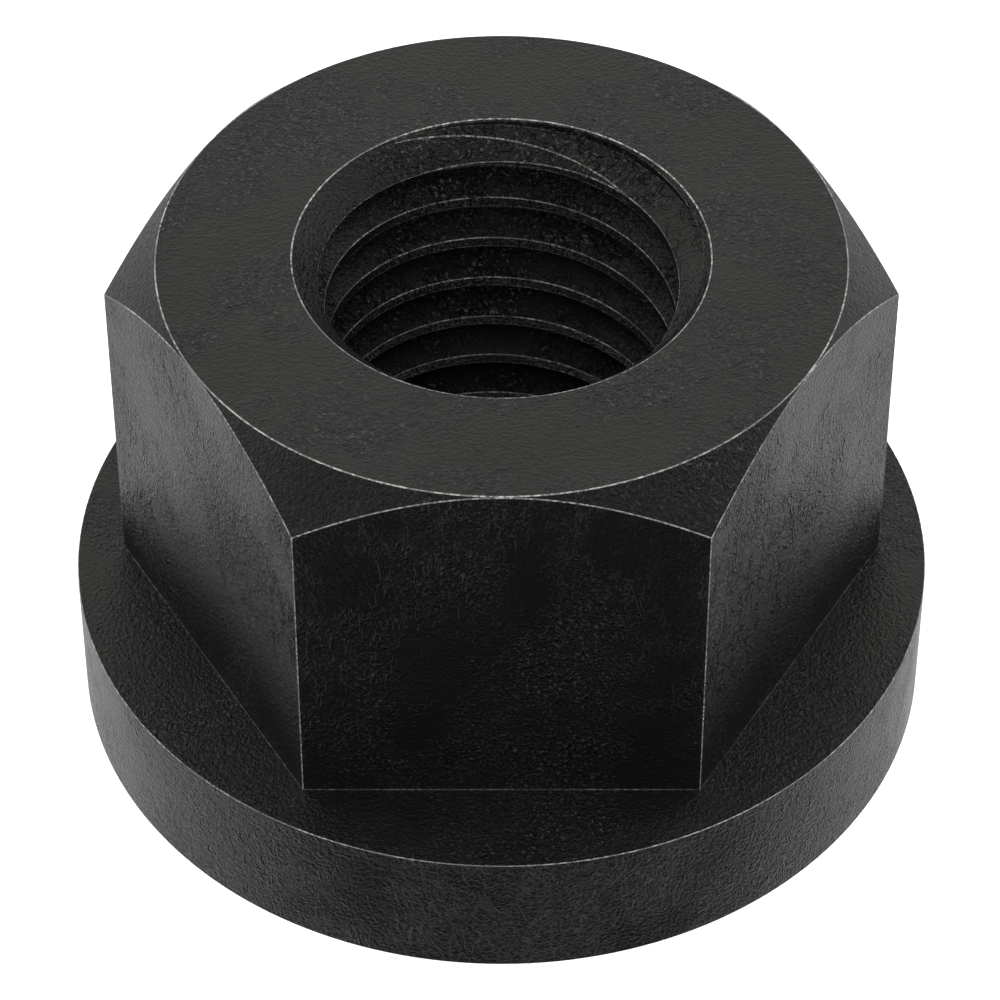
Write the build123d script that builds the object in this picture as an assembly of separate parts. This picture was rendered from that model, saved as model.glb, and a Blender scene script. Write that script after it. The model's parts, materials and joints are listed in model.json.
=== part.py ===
from build123d import *
from build123d.topology import SkipClean
import os

# Hex flange nut, 3/4-10 UNC, forged, machined and blackened in one piece of steel.
# The origin is the centre of the bearing face, and +Z is the thread's axis, out through the top.
# Two of the six flats face -Y and +Y, so two of the six corners lie over the X axis.

# The hexagon
across_flats = 31.75            # 1 1/4 inch wrench size
nut_height = 25.85              # bearing face to top face
corner_chamfer_angle = 45       # how steeply the cone that trims the six corners falls away
top_face_diameter = 31.65       # the trimmed top is a circle just inside the flats

# The flange, a plain round collar under the hexagon
flange_diameter = 41.1
flange_thickness = 6.95

# The thread, 60 degree unified form, right-hand
thread_diameter = 19.05         # 3/4 inch, across the groove's root
threads_per_inch = 10
bore_diameter = 16.31           # the tapping bore, across the crests
flank_angle = 30                # each flank's slope from square to the axis
root_flat_share = 0.168         # width of the groove's root, as a share of the pitch (class 2B, loose end)
groove_height_at_back = 25.73   # the groove's middle passes +Y at this height, near the top face

# The countersinks, one at each mouth
mouth_diameter = 19.2
countersink_angle = 45          # slope of its wall from square to the axis

# How the cutting shapes are made
overrun = 1.0                   # how far a cutting shape runs past the metal that it cuts
groove_overrun = 0.25           # how far the groove's open side stands inside the bore
bore_sectors = 6                # the bore is cut in this many wedges, one behind each flat

MM_PER_INCH = 25.4
FULL_TURN = 360
PARTS_FOLDER = "parts"
STANDING = (Align.CENTER, Align.CENTER, Align.MIN)

pitch = MM_PER_INCH / threads_per_inch
thread_radius = thread_diameter / 2
bore_radius = bore_diameter / 2
mouth_radius = mouth_diameter / 2
flange_radius = flange_diameter / 2


def slope(angle):
    """Rise over run of a line at this many degrees."""
    line = Vector(1, 0).rotate(Axis.Z, angle)
    return line.Y / line.X


def hexagon():
    """The wrench part: a hexagonal bar with its six top corners trimmed by one wide cone."""
    outline = RegularPolygon(across_flats / 2, 6, major_radius=False)
    bar = extrude(outline, nut_height)
    top_radius = top_face_diameter / 2
    trim_height = (flange_radius - top_radius) * slope(corner_chamfer_angle)
    trim_base = nut_height - trim_height
    straight_part = Cylinder(flange_radius, trim_base, align=STANDING)
    trimmed_top = Pos(Z=trim_base) * Cone(flange_radius, top_radius, trim_height, align=STANDING)
    return bar & (straight_part + trimmed_top)


def flange():
    """The round collar that spreads the load over the bearing face."""
    return Cylinder(flange_radius, flange_thickness, align=STANDING)


def countersink():
    """The cone cut into a mouth at the origin, wide end down and narrowing up the bore."""
    wide_radius = mouth_radius + overrun
    narrow_radius = bore_radius - overrun
    depth = (wide_radius - narrow_radius) * slope(countersink_angle)
    below = overrun * slope(countersink_angle)
    return Pos(Z=-below) * Cone(wide_radius, narrow_radius, depth, align=STANDING)


def bore_wedge(number):
    """One sector of the tapping bore, so that each crest is a run of short cylindrical faces."""
    size = FULL_TURN / bore_sectors
    height = nut_height + 2 * overrun
    wedge = Cylinder(bore_radius, height, arc_size=size, align=(Align.NONE, Align.NONE, Align.MIN))
    return Pos(Z=-overrun) * Rot(Z=number * size) * wedge


def groove():
    """The thread's groove: a trapezium carried round a helix, one turn at a time, past both ends."""
    open_radius = bore_radius - groove_overrun
    root_half = pitch * root_flat_share / 2
    open_half = root_half + (thread_radius - open_radius) * slope(flank_angle)
    turns = int(nut_height / pitch) + 2
    lowest = groove_height_at_back - pitch / 4 - (turns - 1) * pitch
    corners = [
        (open_radius, -open_half),
        (thread_radius, -root_half),
        (thread_radius, root_half),
        (open_radius, open_half),
    ]

    def corner_lines(turn):
        start = lowest + turn * pitch
        return [Helix(pitch, pitch, radius, center=(0, 0, start + rise)) for radius, rise in corners]

    walls = []
    for turn in range(turns):
        lines = corner_lines(turn)
        neighbours = lines[1:] + lines[:1]
        walls += [Face.make_surface_from_curves(a, b) for a, b in zip(lines, neighbours)]
    first_end = Face(Wire.make_polygon([line @ 0 for line in corner_lines(0)], close=True))
    last_end = Face(Wire.make_polygon([line @ 1 for line in corner_lines(turns - 1)], close=True))
    return Solid(Shell(walls + [first_end, last_end]))


def flange_nut():
    """The whole nut: hexagon and flange in one, countersunk at both mouths, bored and tapped."""
    nut = hexagon() + flange()
    nut -= countersink()
    nut -= Pos(Z=nut_height) * Rot(X=180) * countersink()
    # Cleaning would join the wedges' walls into one face all round, so it is left out here.
    with SkipClean():
        for number in range(bore_sectors):
            nut -= bore_wedge(number)
        nut -= groove()
    return nut


os.makedirs(PARTS_FOLDER, exist_ok=True)
finished = flange_nut()
export_step(finished, os.path.join(PARTS_FOLDER, "flange_nut.step"))
print("flange_nut", round(finished.volume, 1), "cubic mm,", len(finished.faces()), "faces")
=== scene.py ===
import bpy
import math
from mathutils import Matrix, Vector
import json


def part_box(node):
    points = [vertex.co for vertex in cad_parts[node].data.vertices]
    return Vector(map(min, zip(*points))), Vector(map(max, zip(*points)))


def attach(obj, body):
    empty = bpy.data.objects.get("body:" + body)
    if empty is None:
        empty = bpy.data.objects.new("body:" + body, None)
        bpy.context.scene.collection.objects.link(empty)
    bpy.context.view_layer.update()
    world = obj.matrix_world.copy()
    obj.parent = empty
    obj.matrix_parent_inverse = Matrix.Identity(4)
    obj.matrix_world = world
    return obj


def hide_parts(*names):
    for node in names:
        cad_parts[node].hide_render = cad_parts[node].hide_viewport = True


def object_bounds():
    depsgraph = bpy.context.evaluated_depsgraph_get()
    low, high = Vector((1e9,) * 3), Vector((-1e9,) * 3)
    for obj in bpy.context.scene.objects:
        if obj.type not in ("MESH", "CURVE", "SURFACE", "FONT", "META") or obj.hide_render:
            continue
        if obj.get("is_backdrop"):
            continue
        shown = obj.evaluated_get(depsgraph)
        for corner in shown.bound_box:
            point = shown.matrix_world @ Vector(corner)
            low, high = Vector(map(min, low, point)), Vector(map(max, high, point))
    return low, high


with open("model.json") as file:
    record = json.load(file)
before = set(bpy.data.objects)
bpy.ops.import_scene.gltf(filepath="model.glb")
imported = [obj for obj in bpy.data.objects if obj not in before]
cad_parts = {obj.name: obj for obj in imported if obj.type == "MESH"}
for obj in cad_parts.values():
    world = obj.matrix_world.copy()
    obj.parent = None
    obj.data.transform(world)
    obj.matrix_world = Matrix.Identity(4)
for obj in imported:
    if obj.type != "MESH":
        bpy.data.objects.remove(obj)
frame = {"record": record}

# %% [markdown]
# # A blackened hex flange nut
# This lesson makes one real thing: a heavy hex nut with a thick round flange under it, forged in
# one piece of steel, turned, drilled, tapped and then blackened in a hot salt bath. There is no
# washer, insert or second piece. The imported model gives the frame, the nut's height, the
# flange's radius and the bore; the other sizes are given below, in metres.

MM = 0.001
cad_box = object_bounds()
low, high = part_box("flange_nut")
thread = next(mount for mount in frame["record"]["mounts"] if mount["name"] == "thread")

nut_height = high.z - low.z
flange_radius = (high.x - low.x) / 2
bore_radius = thread["dims"]["r_mm"] * MM
across_flats = 31.75 * MM
flange_thickness = 6.95 * MM
top_face_radius = 15.825 * MM
mouth_radius = 9.6 * MM
thread_radius = 9.525 * MM
MM_PER_INCH = 25.4
THREADS_PER_INCH = 10
pitch = MM_PER_INCH / THREADS_PER_INCH * MM
groove_height_at_back = 25.73 * MM
print("nut", round(nut_height / MM, 2), "mm tall, flange radius", round(flange_radius / MM, 2), "mm")

# %% [markdown]
# ## Working by hand in code
# Each operator acts on whatever is selected, and the loaded frame arrives selected. So every step
# starts by letting go of everything and taking hold of one piece.

# %% Helpers to take hold of a piece
SEGMENTS = 192


def hold(piece):
    """Leave edit mode, let go of everything, then select this piece alone."""
    if bpy.context.object and bpy.context.object.mode != "OBJECT":
        bpy.ops.object.mode_set(mode="OBJECT")
    bpy.ops.object.select_all(action="DESELECT")
    if piece:
        piece.select_set(True)
        bpy.context.view_layer.objects.active = piece


def settle(piece):
    """Put the object's place into its mesh, so that the object itself sits at the origin."""
    hold(piece)
    bpy.ops.object.transform_apply(location=True, rotation=True, scale=True)
    return piece


def round_bar(name, radius, bottom, top, top_radius=None, sides=SEGMENTS, turn=0.0):
    """A bar or a cone standing on the axis between two heights."""
    hold(None)
    place = {"location": (0, 0, (bottom + top) / 2), "rotation": (0, 0, turn)}
    depth = top - bottom
    if top_radius is None:
        bpy.ops.mesh.primitive_cylinder_add(vertices=sides, radius=radius, depth=depth, **place)
    else:
        bpy.ops.mesh.primitive_cone_add(
            vertices=sides, radius1=radius, radius2=top_radius, depth=depth, **place
        )
    bpy.context.object.name = name
    return settle(bpy.context.object)


def take_faces(piece, wanted):
    """Go into edit mode with only the faces that pass the test selected."""
    hold(piece)
    bpy.ops.object.mode_set(mode="EDIT")
    bpy.ops.mesh.select_mode(type="FACE")
    bpy.ops.mesh.select_all(action="DESELECT")
    bpy.ops.object.mode_set(mode="OBJECT")
    for face in piece.data.polygons:
        face.select = wanted(face)
    bpy.ops.object.mode_set(mode="EDIT")


WELD = 0.002 * MM


def weld(piece, distance):
    """Merge points that lie closer together than this."""
    hold(piece)
    bpy.ops.object.mode_set(mode="EDIT")
    bpy.ops.mesh.select_mode(type="VERT")
    bpy.ops.mesh.select_all(action="SELECT")
    bpy.ops.mesh.remove_doubles(threshold=distance)
    bpy.ops.mesh.dissolve_degenerate(threshold=distance / 2)
    bpy.ops.mesh.delete_loose()
    bpy.ops.object.mode_set(mode="OBJECT")


def combine(piece, tool, operation):
    """Join, cut or trim the piece with a tool, weld the seam, then put the tool away."""
    hold(piece)
    step = piece.modifiers.new("machining", "BOOLEAN")
    step.operation = operation
    step.solver = "EXACT"
    step.object = tool
    bpy.ops.object.modifier_apply(modifier=step.name)
    weld(piece, WELD)
    print(operation.lower(), "with", tool.name, "->", len(piece.data.polygons), "faces")
    bpy.data.objects.remove(tool)


# %% [markdown]
# ## The hexagon
# A real nut starts as hexagonal bar. A six-sided cylinder primitive is that bar. Its corners are
# trimmed on a lathe by a tool held at 45 degrees, which leaves a round top face and a curved
# edge at the top of each flat. Trimming with a wide cone makes the same curves, and nothing has
# to be drawn. The bar starts a millimetre above the bearing face, inside the flange to come, and
# runs a millimetre past the top. Two faces in one plane are the hardest case for a boolean.

# %% Cut the bar and trim its corners
SPARE = 1 * MM
HALF_SECTOR = math.tau / 12
corner_radius = across_flats / 2 / math.cos(HALF_SECTOR)
nut = round_bar(
    "hexagonal_bar", corner_radius, SPARE, nut_height + SPARE, sides=6, turn=HALF_SECTOR
)

FACING_DOWN = -0.9
trim_drop = flange_radius - top_face_radius
lathe = round_bar(
    "corner_trim", flange_radius, nut_height - trim_drop, nut_height, top_radius=top_face_radius
)
take_faces(lathe, lambda face: face.normal.z < FACING_DOWN)
straight_part = (0, 0, trim_drop - nut_height)
bpy.ops.mesh.extrude_region_move(TRANSFORM_OT_translate={"value": straight_part})
combine(nut, lathe, "INTERSECT")

# %% [markdown]
# ## The flange
# The flange is forged together with the hexagon, so the two are joined into one skin, and no
# disc stays hidden inside.

# %% Join the flange to the hexagon
combine(nut, round_bar("flange_disc", flange_radius, 0, flange_thickness), "UNION")

# %% [markdown]
# ## Drilling and countersinking
# A tapping drill goes right through. Both mouths then get a 90 degree countersink, so that the
# first thread isn't left as a sharp burr.

# %% Drill the bore and countersink both mouths
combine(nut, round_bar("drill", bore_radius, -SPARE, nut_height + SPARE), "DIFFERENCE")

sink_point = bore_radius - SPARE
sink_wide = mouth_radius + SPARE
sink_depth = sink_wide - sink_point
combine(
    nut,
    round_bar("lower_sink", sink_wide, -SPARE, sink_depth - SPARE, top_radius=sink_point),
    "DIFFERENCE",
)
combine(
    nut,
    round_bar(
        "upper_sink",
        sink_point,
        nut_height + SPARE - sink_depth,
        nut_height + SPARE,
        top_radius=sink_wide,
    ),
    "DIFFERENCE",
)

# %% [markdown]
# ## Tapping
# The tap is a plane whose four corners are moved to the groove's section, a trapezium with 60
# degrees between its sides. The Screw modifier carries that section up a helix. With as many
# steps to a turn as the bore has sides, each facet of the thread meets one facet of the bore.
# The section starts inside the bore and the helix runs past both ends of the nut.

# %% Make the tap
OPEN_SIDE = 0.25 * MM
ROOT_SHARE = 0.168
FLANK_ANGLE = math.radians(30)
open_radius = bore_radius - OPEN_SIDE
root_half = ROOT_SHARE * pitch / 2
open_half = root_half + (thread_radius - open_radius) * math.tan(FLANK_ANGLE)
turns = int(nut_height / pitch) + 2
lowest = groove_height_at_back - pitch / 4 - (turns - 1) * pitch

hold(None)
bpy.ops.mesh.primitive_plane_add(size=1)
tap = bpy.context.object
tap.name = "tap"
for corner in tap.data.vertices:
    outside = corner.co.x > 0
    half = root_half if outside else open_half
    side = 1 if corner.co.y > 0 else -1
    corner.co = (thread_radius if outside else open_radius, 0, lowest + side * half)
bpy.ops.object.mode_set(mode="EDIT")
bpy.ops.mesh.select_all(action="SELECT")
bpy.ops.mesh.delete(type="ONLY_FACE")
bpy.ops.object.mode_set(mode="OBJECT")

helix = tap.modifiers.new("helix", "SCREW")
helix.angle = math.tau
helix.screw_offset = pitch
helix.iterations = turns
helix.steps = SEGMENTS
helix.render_steps = SEGMENTS
bpy.ops.object.modifier_apply(modifier="helix")

bpy.ops.object.mode_set(mode="EDIT")
bpy.ops.mesh.select_all(action="DESELECT")
bpy.ops.mesh.select_mode(type="EDGE")
bpy.ops.mesh.select_non_manifold()
bpy.ops.mesh.fill_holes(sides=4)
bpy.ops.mesh.select_all(action="SELECT")
bpy.ops.mesh.normals_make_consistent(inside=False)
bpy.ops.object.mode_set(mode="OBJECT")
print("tap", turns, "turns,", len(tap.data.polygons), "faces")

# %% Tap the bore
combine(nut, tap, "DIFFERENCE")

# %% [markdown]
# ## Cleaning up
# Where the tap's corners run along the bore's facets the cut leaves pairs of points a few
# thousandths of a millimetre apart. Merging them leaves one clean edge along each crest.

# %% Merge the doubled points
SEAM_WELD = 0.02 * MM
weld(nut, SEAM_WELD)
print("clean body", len(nut.data.vertices), "points,", len(nut.data.polygons), "faces")

# %% [markdown]
# ## Worn edges
# Tumbling and handling round every edge a little and rub the black off it. A narrow bevel makes
# the rounding. Its angle limit is above the 2 degrees between two facets of the bore, and below
# the 15 degrees where the top thread runs out through the countersink. It gives its new faces the
# second material number, so that they can be found again afterwards.

# %% Round the edges
EDGE_WIDTH = 0.038 * MM
SHARP = math.radians(10)
bpy.ops.object.shade_smooth()
rounding = nut.modifiers.new("rounding", "BEVEL")
rounding.width = EDGE_WIDTH
rounding.segments = 2
rounding.limit_method = "ANGLE"
rounding.angle_limit = SHARP
rounding.use_clamp_overlap = False
rounding.harden_normals = True
nut.data.materials.append(bpy.data.materials.new("plain"))
nut.data.materials.append(bpy.data.materials.new("edge"))
rounding.material = 1
bpy.ops.object.modifier_apply(modifier="rounding")
print("rounded body", len(nut.data.polygons), "faces")

# %% [markdown]
# ## How bare each edge is
# Hands and trays reach the outer edges and the rim of the mouth. They hardly reach the thread,
# and never its roots or the inner corner at the foot of the hexagon. The rub is kept as a
# corner attribute, so that the finish can read it.

# %% Write the rub on the edge faces
NEAR = 0.1 * MM
OUTER_RUB, THREAD_RUB, FOOT_RUB, ROOT_RUB = 1.0, 0.40, 0.10, 0.06


def rub(spot):
    """How bare the steel is at this spot of an edge, from 0 to 1."""
    radius = math.hypot(spot.x, spot.y)
    if abs(spot.z - flange_thickness) < NEAR and radius < flange_radius - MM:
        return FOOT_RUB
    if radius > (thread_radius + mouth_radius) / 2:
        return OUTER_RUB
    return ROOT_RUB if radius > thread_radius - NEAR else THREAD_RUB


edge_wear = nut.data.attributes.new("edge_wear", "FLOAT", "CORNER")
worn_faces = 0
for face in nut.data.polygons:
    if face.material_index == 1:
        worn_faces += 1
        for corner in face.loop_indices:
            edge_wear.data[corner].value = rub(face.center)
    face.material_index = 0
nut.data.materials.clear()
print(worn_faces, "of", len(nut.data.polygons), "faces lie on an edge")

# %% [markdown]
# ## Black oxide, part one: the grain
# Forged steel keeps a fine grain from the scale that was blasted off it. It is coarser in patches
# a few millimetres wide, which also hold short wrinkles, drawn out along the axis, and small pits.
# The black is only a thousandth of a millimetre thick and covers none of that up. All of it is
# finer than a mesh could carry, so it is made of noise. The group gives a height for a Bump node,
# the mask of the patches, and the peaks where the black is rubbed thin.

# %% A small helper to wire nodes
def add_node(tree, kind, **settings):
    """A new node with its settings, and its sockets set by name."""
    node = tree.nodes.new(kind)
    for name, value in settings.items():
        if hasattr(node, name):
            setattr(node, name, value)
        else:
            node.inputs[name.replace("_", " ")].default_value = value
    return node


def add_math(tree, operation, first, second):
    """A Math node, each of whose two inputs is a socket or a number."""
    node = tree.nodes.new("ShaderNodeMath")
    node.operation = operation
    for slot, value in zip(node.inputs, (first, second)):
        if isinstance(value, bpy.types.NodeSocket):
            tree.links.new(value, slot)
        else:
            slot.default_value = value
    return node.outputs[0]


def new_group(name, inputs, outputs):
    """An empty shader group with named sockets. Returns it with its two end nodes."""
    group = bpy.data.node_groups.new(name, "ShaderNodeTree")
    for label, kind, value in inputs:
        socket = group.interface.new_socket(label, in_out="INPUT", socket_type=kind)
        if value is not None:
            socket.default_value = value
    for label, kind in outputs:
        group.interface.new_socket(label, in_out="OUTPUT", socket_type=kind)
    return group, group.nodes.new("NodeGroupInput"), group.nodes.new("NodeGroupOutput")


FLOAT = "NodeSocketFloat"
VECTOR = "NodeSocketVector"

# %% The patchy grain
def noise_at(tree, place, scale, detail=3.0, roughness=0.55, distortion=0.0):
    """Soft noise with so many lumps to the metre."""
    softness = {"Detail": detail, "Roughness": roughness, "Distortion": distortion}
    node = add_node(tree, "ShaderNodeTexNoise", **softness)
    tree.links.new(place, node.inputs["Vector"])
    if isinstance(scale, bpy.types.NodeSocket):
        tree.links.new(scale, node.inputs["Scale"])
    else:
        node.inputs["Scale"].default_value = scale
    return node.outputs["Fac"]


def smooth_step(tree, value, start, end):
    """0 at start and 1 at end, with an eased ramp between."""
    node = add_node(tree, "ShaderNodeMapRange", interpolation_type="SMOOTHSTEP")
    node.inputs["From Min"].default_value = start
    node.inputs["From Max"].default_value = end
    tree.links.new(value, node.inputs["Value"])
    return node.outputs["Result"]


PATCH_SHARE, GROUND_SHARE = 0.35, 0.65
PATCH_RAMP, FLECK_RAMP = (0.38, 0.68), (0.59, 0.65)
grain, grain_in, grain_out = new_group(
    "Patchy grain",
    [
        ("Place", VECTOR, None),
        ("Patches per metre", FLOAT, 190.0),
        ("Grains per metre", FLOAT, 5600.0),
    ],
    [("Height", FLOAT), ("Patch", FLOAT), ("Fleck", FLOAT)],
)
place = grain_in.outputs["Place"]
per_metre = grain_in.outputs["Grains per metre"]
patches_per_metre = grain_in.outputs["Patches per metre"]
patch_noise = noise_at(grain, place, patches_per_metre, detail=4.0, roughness=0.6)
patch = smooth_step(grain, patch_noise, *PATCH_RAMP)
grain.links.new(patch, grain_out.inputs["Patch"])

crinkle = noise_at(grain, place, per_metre, detail=2.0, distortion=0.4)
share = add_math(grain, "MULTIPLY_ADD", patch, PATCH_SHARE)
share.node.inputs[2].default_value = GROUND_SHARE
ground = add_math(grain, "MULTIPLY", crinkle, share)

peak = smooth_step(grain, crinkle, *FLECK_RAMP)
grain.links.new(add_math(grain, "MULTIPLY", peak, patch), grain_out.inputs["Fleck"])
print("ground of group", grain.name, "with", len(grain.nodes), "nodes")

# %% Wrinkles and pits on the grain
WRINKLE_SHARE, PIT_SHARE = 1.15, 0.55
AXIAL_SQUEEZE = 0.45
FOLDS_PER_GRAIN, DOTS_PER_GRAIN = 0.24, 1.2
FOLD_REACH = 0.030
PIT_RAMP = (0.56, 0.66)
NOISE_MIDDLE = 0.5

# A wrinkle runs wherever a coarser noise, stretched in height, crosses its middle value.
drawn_out = add_node(grain, "ShaderNodeVectorMath", operation="MULTIPLY")
drawn_out.inputs[1].default_value = (1.0, 1.0, AXIAL_SQUEEZE)
grain.links.new(place, drawn_out.inputs[0])
folds_per_metre = add_math(grain, "MULTIPLY", per_metre, FOLDS_PER_GRAIN)
folds = noise_at(grain, drawn_out.outputs[0], folds_per_metre, detail=2.0, distortion=0.5)
from_middle = add_math(grain, "ABSOLUTE", add_math(grain, "SUBTRACT", folds, NOISE_MIDDLE), 0.0)
wrinkle = add_math(grain, "MULTIPLY", smooth_step(grain, from_middle, FOLD_REACH, 0.0), patch)
raised = add_math(grain, "MULTIPLY_ADD", wrinkle, WRINKLE_SHARE)
grain.links.new(ground, raised.node.inputs[2])

dots = noise_at(grain, place, add_math(grain, "MULTIPLY", per_metre, DOTS_PER_GRAIN), detail=0.0)
pits = add_math(grain, "MULTIPLY", smooth_step(grain, dots, *PIT_RAMP), patch)
height = add_math(grain, "SUBTRACT", raised, add_math(grain, "MULTIPLY", pits, PIT_SHARE))
grain.links.new(height, grain_out.inputs["Height"])
print("group", grain.name, "with", len(grain.nodes), "nodes")

# %% [markdown]
# ## Black oxide, part two: bare steel on the edges
# The rub follows the edge faces, but not evenly: it breaks up into beads a fraction of a
# millimetre long, and some longer stretches still hold most of their black.

# %% The broken edge line
BEADS_PER_METRE, STRETCHES_PER_METRE = 4400.0, 260.0
BEAD_RAMP, STRETCH_RAMP = (0.45, 0.57), (0.32, 0.62)
UNEVEN_SHARE = 0.75
wear, wear_in, wear_out = new_group(
    "Broken edge wear",
    [("Place", VECTOR, None), ("Edge", FLOAT, 0.0)],
    [("Bare", FLOAT)],
)
place = wear_in.outputs["Place"]
bead_noise = noise_at(wear, place, BEADS_PER_METRE, detail=1.0)
beads = smooth_step(wear, bead_noise, *BEAD_RAMP)
stretch_noise = noise_at(wear, place, STRETCHES_PER_METRE, detail=2.0)
stretches = smooth_step(wear, stretch_noise, *STRETCH_RAMP)
both = add_math(wear, "MULTIPLY", beads, stretches)
uneven = add_math(wear, "MULTIPLY_ADD", both, UNEVEN_SHARE)
uneven.node.inputs[2].default_value = 1 - UNEVEN_SHARE
wear.links.new(add_math(wear, "MULTIPLY", wear_in.outputs["Edge"], uneven), wear_out.inputs["Bare"])
print("group", wear.name, "with", len(wear.nodes), "nodes")

# %% [markdown]
# ## Black oxide, part three: the finish
# The film is magnetite, nearly black and a little glossy from the oil that seals it. It mottles
# between two blacks, shows grey where the grain's peaks are rubbed thin, and gives way to pale
# bare steel on the edges. All the masks meet in one Principled shader, so that light, sheen and
# grain stay one surface.

# %% The finish itself
GRAIN_DEPTH = 0.135 * MM
DEEP_BLACK, THIN_BLACK = (0.0040, 0.0040, 0.0040, 1), (0.0060, 0.0059, 0.0057, 1)
RUBBED_PEAK, BARE_STEEL = (0.044, 0.0435, 0.0425, 1), (0.62, 0.612, 0.596, 1)
OILED_IOR = 1.5
BARE_METALLIC = 0.6
MOTTLES_PER_METRE, MOTTLE_RAMP = 210.0, (0.35, 0.68)
SMOOTH_GROUND, ROUGH_PATCH = 0.25, 0.28
steel = bpy.data.materials.new("blackened_steel")
steel.use_nodes = True
tree = steel.node_tree
shader = tree.nodes["Principled BSDF"]
shader.inputs["IOR"].default_value = OILED_IOR

place = add_node(tree, "ShaderNodeTexCoord").outputs["Object"]
grain_node = add_node(tree, "ShaderNodeGroup", node_tree=grain)
wear_node = add_node(tree, "ShaderNodeGroup", node_tree=wear)
edge_node = add_node(tree, "ShaderNodeAttribute", attribute_name="edge_wear")
tree.links.new(place, grain_node.inputs["Place"])
tree.links.new(place, wear_node.inputs["Place"])
tree.links.new(edge_node.outputs["Fac"], wear_node.inputs["Edge"])
bare = wear_node.outputs["Bare"]

mottle_noise = noise_at(tree, place, MOTTLES_PER_METRE, detail=5.0, roughness=0.6)
mottle = smooth_step(tree, mottle_noise, *MOTTLE_RAMP)
black = add_node(tree, "ShaderNodeMix", data_type="RGBA")
black.inputs["A"].default_value = DEEP_BLACK
black.inputs["B"].default_value = THIN_BLACK
tree.links.new(mottle, black.inputs["Factor"])
flecked = add_node(tree, "ShaderNodeMix", data_type="RGBA")
tree.links.new(black.outputs["Result"], flecked.inputs["A"])
flecked.inputs["B"].default_value = RUBBED_PEAK
tree.links.new(grain_node.outputs["Fleck"], flecked.inputs["Factor"])
colour = add_node(tree, "ShaderNodeMix", data_type="RGBA")
tree.links.new(flecked.outputs["Result"], colour.inputs["A"])
colour.inputs["B"].default_value = BARE_STEEL
tree.links.new(bare, colour.inputs["Factor"])
tree.links.new(colour.outputs["Result"], shader.inputs["Base Color"])
tree.links.new(add_math(tree, "MULTIPLY", bare, BARE_METALLIC), shader.inputs["Metallic"])

roughness = add_node(tree, "ShaderNodeMapRange")
tree.links.new(grain_node.outputs["Patch"], roughness.inputs["Value"])
roughness.inputs["To Min"].default_value = SMOOTH_GROUND
roughness.inputs["To Max"].default_value = ROUGH_PATCH
tree.links.new(roughness.outputs["Result"], shader.inputs["Roughness"])

bump = add_node(tree, "ShaderNodeBump", Strength=1.0, Distance=GRAIN_DEPTH)
tree.links.new(grain_node.outputs["Height"], bump.inputs["Height"])
tree.links.new(bump.outputs["Normal"], shader.inputs["Normal"])
nut.data.materials.append(steel)
print("finish", steel.name, "with", len(tree.nodes), "nodes")

# %% [markdown]
# ## In the frame
# The finished nut rides on the model's root body and takes the place of the plain node.

# %% Put the finished nut in the frame
nut.name = "black_flange_nut"
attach(nut, "root")
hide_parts("flange_nut")
print("piece", nut.name, "stands for flange_nut")

# %% [markdown]
# ## The floor
# The nut stands on a pale sheet that glows a little, as a lit sweep does, so no shadow shows. The
# sheet is left out of reflections, where it would turn the black grey. It lies a hair below the
# bearing face, and it is clear from below, so that the bearing face can be looked at.

# %% Floor
JUST_BELOW = 0.02 * MM
FLOOR_SIZE = 6
FLOOR_PALE = (0.9, 0.9, 0.9, 1)
FLOOR_GLOW = 0.5
hold(None)
bpy.ops.mesh.primitive_plane_add(size=FLOOR_SIZE, location=(0, 0, -JUST_BELOW))
floor = bpy.context.object
floor.name = "floor"
floor_finish = bpy.data.materials.new("pale_floor")
floor_finish.use_nodes = True
floor_tree = floor_finish.node_tree
floor_shader = floor_tree.nodes["Principled BSDF"]
floor_shader.inputs["Base Color"].default_value = FLOOR_PALE
floor_shader.inputs["Roughness"].default_value = 1.0
floor_shader.inputs["Specular IOR Level"].default_value = 0.0
floor_shader.inputs["Emission Color"].default_value = (1, 1, 1, 1)
floor_shader.inputs["Emission Strength"].default_value = FLOOR_GLOW

side_seen = add_node(floor_tree, "ShaderNodeNewGeometry")
clear = add_node(floor_tree, "ShaderNodeBsdfTransparent")
from_below = add_node(floor_tree, "ShaderNodeMixShader")
floor_tree.links.new(side_seen.outputs["Backfacing"], from_below.inputs["Fac"])
floor_tree.links.new(floor_shader.outputs["BSDF"], from_below.inputs[1])
floor_tree.links.new(clear.outputs["BSDF"], from_below.inputs[2])
floor_end = floor_tree.nodes["Material Output"]
floor_tree.links.new(from_below.outputs["Shader"], floor_end.inputs["Surface"])
floor.data.materials.append(floor_finish)
floor.visible_glossy = False
floor.visible_diffuse = False
floor.visible_shadow = False
floor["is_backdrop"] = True
print("floor", FLOOR_SIZE, "m wide")

# %% [markdown]
# ## The room
# Black oxide shows little colour of its own, so what it reflects draws its faces. The room is
# bright behind and beside the nut and dark on the camera's side: its bright part lights the side
# flats, and its dark part leaves the front one black. It leans a little to the left, where one
# side flat is brighter than the other. A low band in front keeps the nut's back from going flat
# when it is turned to the camera, and the light from high up at the back is slightly warm. The
# camera itself sees plain white. Every mask is made from the direction alone.

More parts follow.
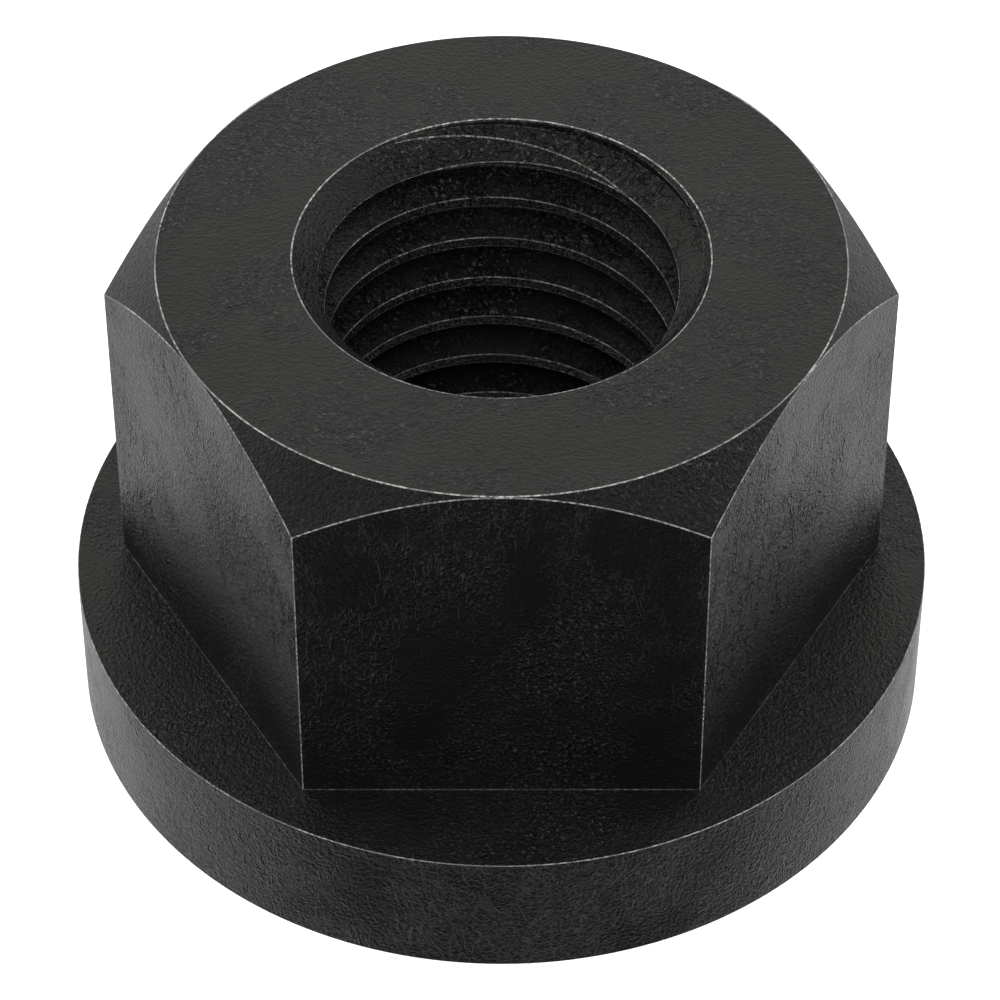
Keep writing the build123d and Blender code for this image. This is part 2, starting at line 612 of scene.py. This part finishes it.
# %% Room
DARK_SIDE, BRIGHT_SIDE = 0.045, 0.85
UPPER_SHARE = 0.79
BAND_GLOW = 0.55
LEFT_LEAN = 0.09
BACK_RAMP, UPPER_RAMP = (-0.50, 0.22), (-0.55, 0.0)
BAND_FOOT_RAMP, BAND_TOP_RAMP = (-0.05, 0.10), (0.50, 0.35)
WARM_RAMP = (0.2, 0.6)
WHITE, WARM_WHITE = (1, 1, 1, 1), (1, 0.965, 0.90, 1)
room = bpy.data.worlds.new("room")
bpy.context.scene.world = room
room.use_nodes = True
sky = room.node_tree
background = sky.nodes["Background"]
direction = add_node(sky, "ShaderNodeTexCoord").outputs["Generated"]
apart = add_node(sky, "ShaderNodeSeparateXYZ")
sky.links.new(direction, apart.inputs["Vector"])
leaning = add_math(sky, "MULTIPLY_ADD", apart.outputs["X"], -LEFT_LEAN)
sky.links.new(apart.outputs["Y"], leaning.node.inputs[2])
towards_back = smooth_step(sky, leaning, *BACK_RAMP)
level = add_math(sky, "MULTIPLY_ADD", towards_back, BRIGHT_SIDE - DARK_SIDE)
level.node.inputs[2].default_value = DARK_SIDE
upwards = apart.outputs["Z"]
above = add_math(sky, "MULTIPLY_ADD", smooth_step(sky, upwards, *UPPER_RAMP), UPPER_SHARE - 1)
above.node.inputs[2].default_value = 1.0
band_foot = smooth_step(sky, upwards, *BAND_FOOT_RAMP)
band_top = smooth_step(sky, upwards, *BAND_TOP_RAMP)
band = add_math(sky, "MULTIPLY", band_foot, band_top)
front_band = add_math(sky, "MULTIPLY", band, BAND_GLOW)
glow = add_math(sky, "MAXIMUM", add_math(sky, "MULTIPLY", level, above), front_band)

camera_ray = add_node(sky, "ShaderNodeLightPath").outputs["Is Camera Ray"]
seen = add_node(sky, "ShaderNodeMix", data_type="FLOAT")
sky.links.new(camera_ray, seen.inputs["Factor"])
sky.links.new(glow, seen.inputs["A"])
seen.inputs["B"].default_value = 1.0
sky.links.new(seen.outputs["Result"], background.inputs["Strength"])

warmth = add_node(sky, "ShaderNodeMix", data_type="RGBA")
warmth.inputs["A"].default_value = WHITE
warmth.inputs["B"].default_value = WARM_WHITE
upper_back = add_math(sky, "MULTIPLY", towards_back, smooth_step(sky, upwards, *WARM_RAMP))
unseen = add_math(sky, "SUBTRACT", 1.0, camera_ray)
sky.links.new(add_math(sky, "MULTIPLY", upper_back, unseen), warmth.inputs["Factor"])
sky.links.new(warmth.outputs["Result"], background.inputs["Color"])
print("room with", len(sky.nodes), "nodes")

# %% [markdown]
# ## The lights
# A wide soft light hangs overhead, and a smaller one fills in from the camera's side. Both are
# round and left out of reflections: they only lift the grain and the bare edges a little.

# %% Two soft lights
def soft_light(name, location, tilt, size, watts):
    """A round area light that leans back from straight down, unseen in reflections."""
    bpy.ops.object.light_add(type="AREA", location=location, rotation=(tilt, 0, 0))
    light = bpy.context.object
    light.name = name
    light.data.shape = "DISK"
    light.data.size = size
    light.data.energy = watts
    light.visible_glossy = False
    print("light", name, watts, "W")


soft_light("overhead_softbox", (0, 0, 0.9), 0, size=1.6, watts=9.0)
soft_light("front_fill", (0, -0.6, 0.6), math.radians(45), size=0.5, watts=5.0)

# %% [markdown]
# ## The camera
# It looks down at about 45 degrees on one flat, from so near that the far side looks smaller.

# %% Camera
CAMERA_HEIGHT_ANGLE = math.radians(44.61)
CAMERA_DISTANCE = 0.21884
LENS_MM = 163.7
aim = Vector((-0.00007, 0, 0.01004))
bpy.ops.object.camera_add()
camera = bpy.context.object
camera.name = "camera"
camera.data.lens = LENS_MM
camera.data.sensor_width = 36.0
camera.data.clip_start = 0.01
camera.data.clip_end = 20.0
back_from_aim = Vector((0, -math.cos(CAMERA_HEIGHT_ANGLE), math.sin(CAMERA_HEIGHT_ANGLE)))
camera.location = aim + back_from_aim * CAMERA_DISTANCE
camera.rotation_euler = (math.pi / 2 - CAMERA_HEIGHT_ANGLE, 0, 0)
bpy.context.scene.camera = camera
bpy.context.scene.view_settings.view_transform = "Standard"
print("camera", round(camera.location.z / MM, 1), "mm above the floor")

# %% [markdown]
# ## Measuring the result
# The finish may not change the nut's size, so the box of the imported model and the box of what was
# built here are written down side by side.

# %% Write both boxes
import json

boxes = {"cad": cad_box, "visual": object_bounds()}
for name, box in boxes.items():
    boxes[name] = [list(corner) for corner in box]
print("boxes", boxes)
